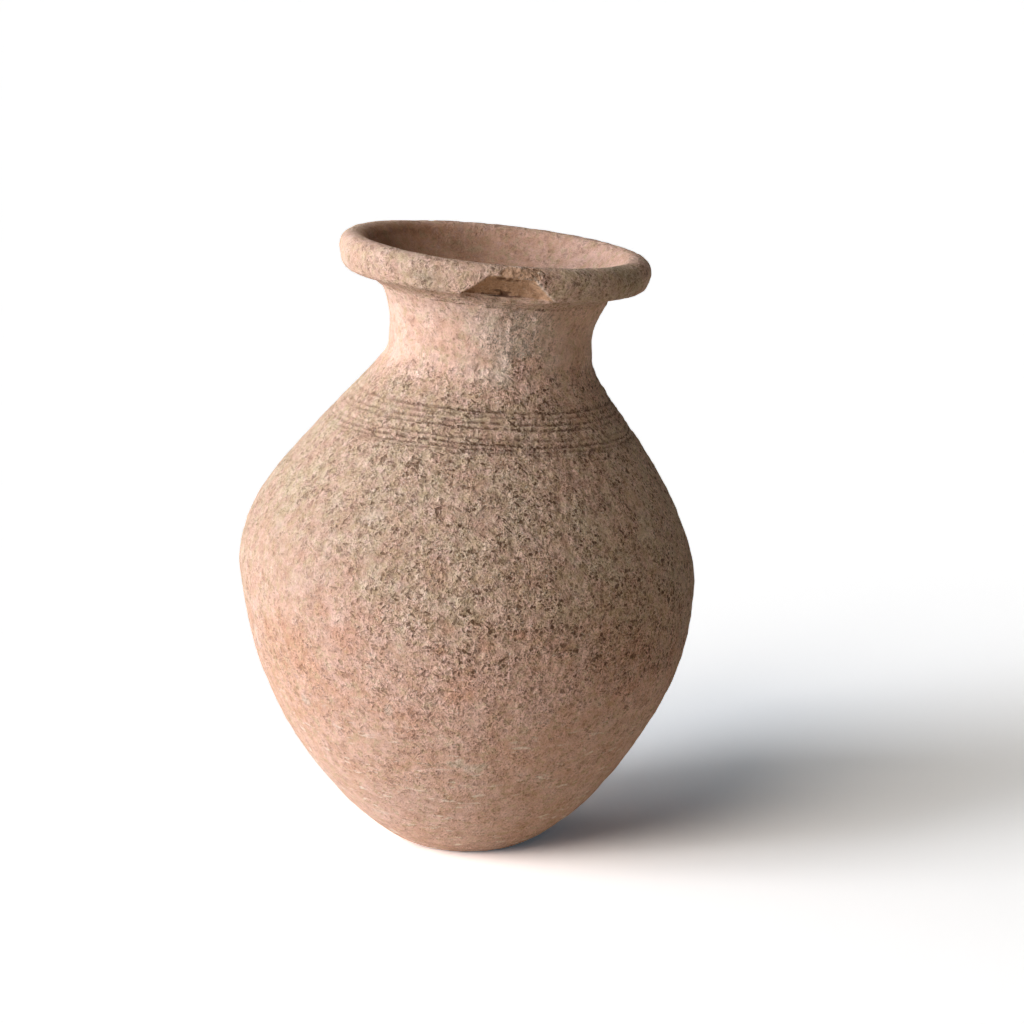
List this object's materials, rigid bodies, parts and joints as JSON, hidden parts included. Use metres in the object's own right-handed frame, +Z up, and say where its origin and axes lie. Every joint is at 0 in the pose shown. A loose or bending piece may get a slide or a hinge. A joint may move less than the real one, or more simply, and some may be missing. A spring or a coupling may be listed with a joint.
{
  "type": "terracotta jar",
  "caption": "Hand-built terracotta storage jar: round body on a small flat foot, combed shoulder, waisted neck and a heavy rolled rim with a broken edge.",
  "frame": {"origin": "centre of the flat foot, on its underside", "axes": "+Z up out of the mouth; the broken stretch of the rim faces -Y; the neck leans and the rim dips towards +X"},
  "size_m": [0.1876, 0.1874, 0.2558],
  "materials": {
    "foot_clay": "unglazed fired clay, scraped, matt",
    "body_clay": "unglazed fired clay, pitted, matt",
    "shoulder_clay": "unglazed fired clay, weathered and combed, matt",
    "neck_clay": "unglazed fired clay, wiped smooth, matt",
    "rim_clay": "unglazed fired clay, weathered, with a broken edge, matt"
  },
  "bodies": {
    "root": {"base": "foot_clay", "lower_body": "body_clay", "shoulder": "shoulder_clay", "neck": "neck_clay", "rim": "rim_clay"}
  },
  "joints": []
}
